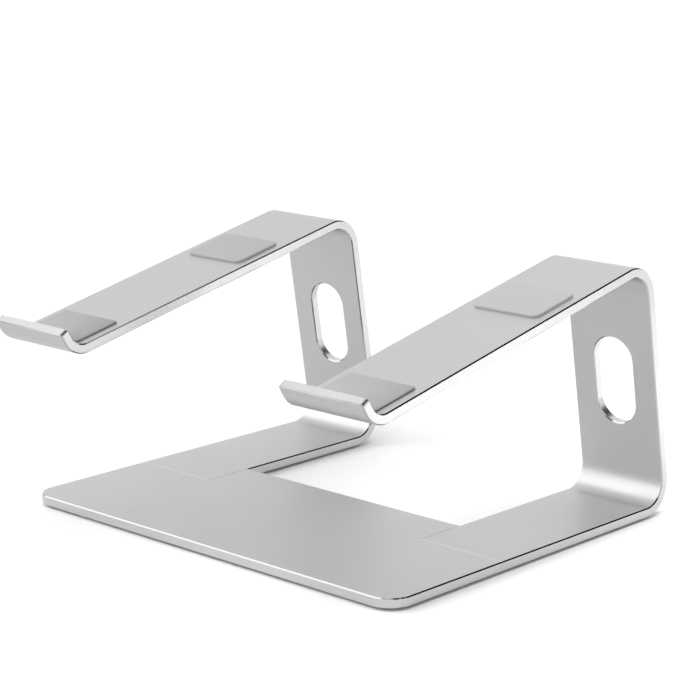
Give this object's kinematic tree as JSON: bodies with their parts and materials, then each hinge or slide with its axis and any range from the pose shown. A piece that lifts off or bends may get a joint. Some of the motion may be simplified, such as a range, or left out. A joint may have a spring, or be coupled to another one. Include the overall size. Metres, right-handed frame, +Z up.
{
  "type": "laptop stand",
  "caption": "Free-standing laptop riser of thick bent aluminium plate: a wide front base plate and two arms, each with a column, an oval cable hole and a tray that ends in a hook.",
  "frame": {"origin": "on the desk, under the middle of the stand's bounding box", "axes": "+X to the right as seen by the user, +Y to the back, +Z up"},
  "size_m": [0.258, 0.2376, 0.1361],
  "materials": {
    "aluminium_plate": "bead-blasted and clear anodised, satin silver",
    "steel_screws": "plain stainless steel",
    "silicone_pads": "matt light grey silicone",
    "rubber_feet": "matt dark grey rubber"
  },
  "bodies": {
    "root": {"base_plate": "aluminium_plate", "left_arm": "aluminium_plate", "right_arm": "aluminium_plate", "lap_screws": "steel_screws", "left_hook_pad": "silicone_pads", "right_hook_pad": "silicone_pads", "left_tray_pad": "silicone_pads", "right_tray_pad": "silicone_pads", "front_left_foot": "rubber_feet", "front_right_foot": "rubber_feet", "rear_left_foot": "rubber_feet", "rear_right_foot": "rubber_feet"}
  },
  "joints": []
}
